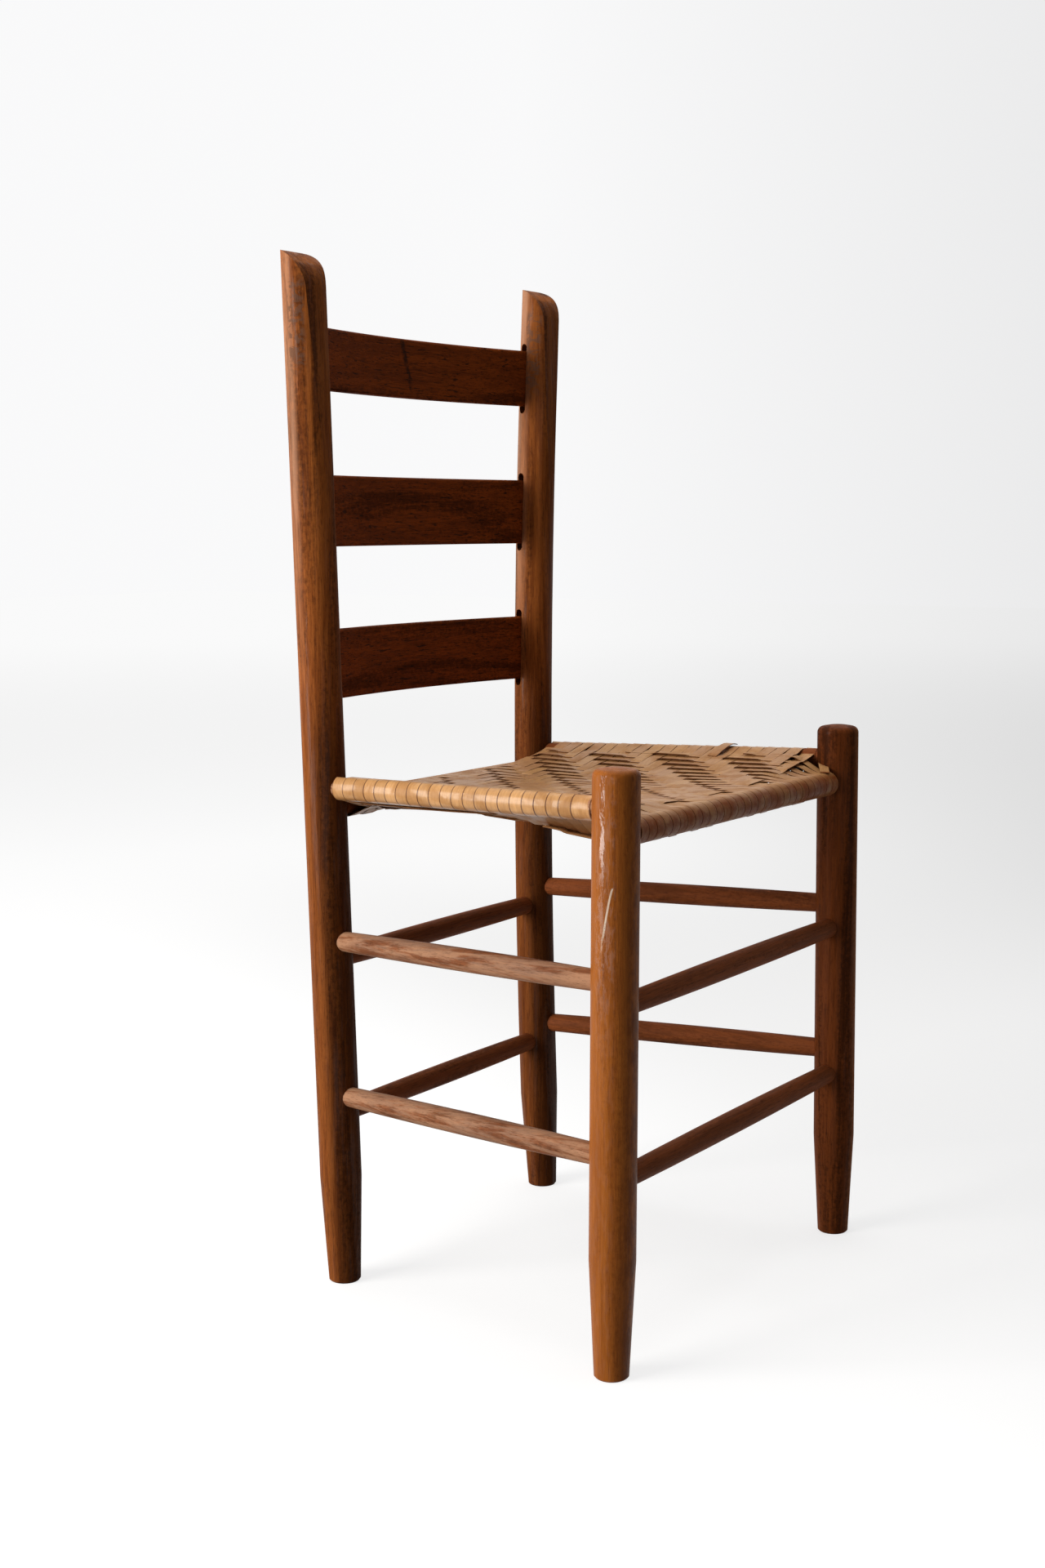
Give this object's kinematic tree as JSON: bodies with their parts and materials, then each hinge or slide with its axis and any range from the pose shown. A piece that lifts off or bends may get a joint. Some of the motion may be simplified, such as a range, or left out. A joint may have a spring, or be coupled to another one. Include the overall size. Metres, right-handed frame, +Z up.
{
  "type": "ladderback chair",
  "caption": "Ladderback side chair: round posts with tapered feet, bowed back slats, turned rungs and a woven splint seat.",
  "frame": {"origin": "on the floor, under the middle of the chair's overall box", "axes": "+Z up, the front of the chair faces -Y, the sitter's left side is +X"},
  "size_m": [0.442, 0.372, 0.9157],
  "materials": {
    "post_wood": "old orange-brown varnish over hardwood, glossy in places, with dark streaks and worn edges",
    "slat_wood": "dark red-brown varnish, satin, horizontal grain",
    "rung_wood": "worn brown finish, dull, greyish where rubbed",
    "splint": "golden tan wood splint, glossy where it is worn, darker at the edges"
  },
  "bodies": {
    "root": {"back_post_left": "post_wood", "back_post_right": "post_wood", "corner_splints_left": "splint", "corner_splints_right": "splint", "front_post_left": "post_wood", "front_post_right": "post_wood", "rung_back_lower": "rung_wood", "rung_back_upper": "rung_wood", "rung_front_lower": "rung_wood", "rung_front_upper": "rung_wood", "rung_left_lower": "rung_wood", "rung_left_upper": "rung_wood", "rung_right_lower": "rung_wood", "rung_right_upper": "rung_wood", "seat_rail_back": "rung_wood", "seat_rail_front": "rung_wood", "seat_rail_left": "rung_wood", "seat_rail_right": "rung_wood", "seat_warps": "splint", "seat_wefts": "splint", "slat_bottom": "slat_wood", "slat_middle": "slat_wood", "slat_top": "slat_wood"}
  },
  "joints": []
}
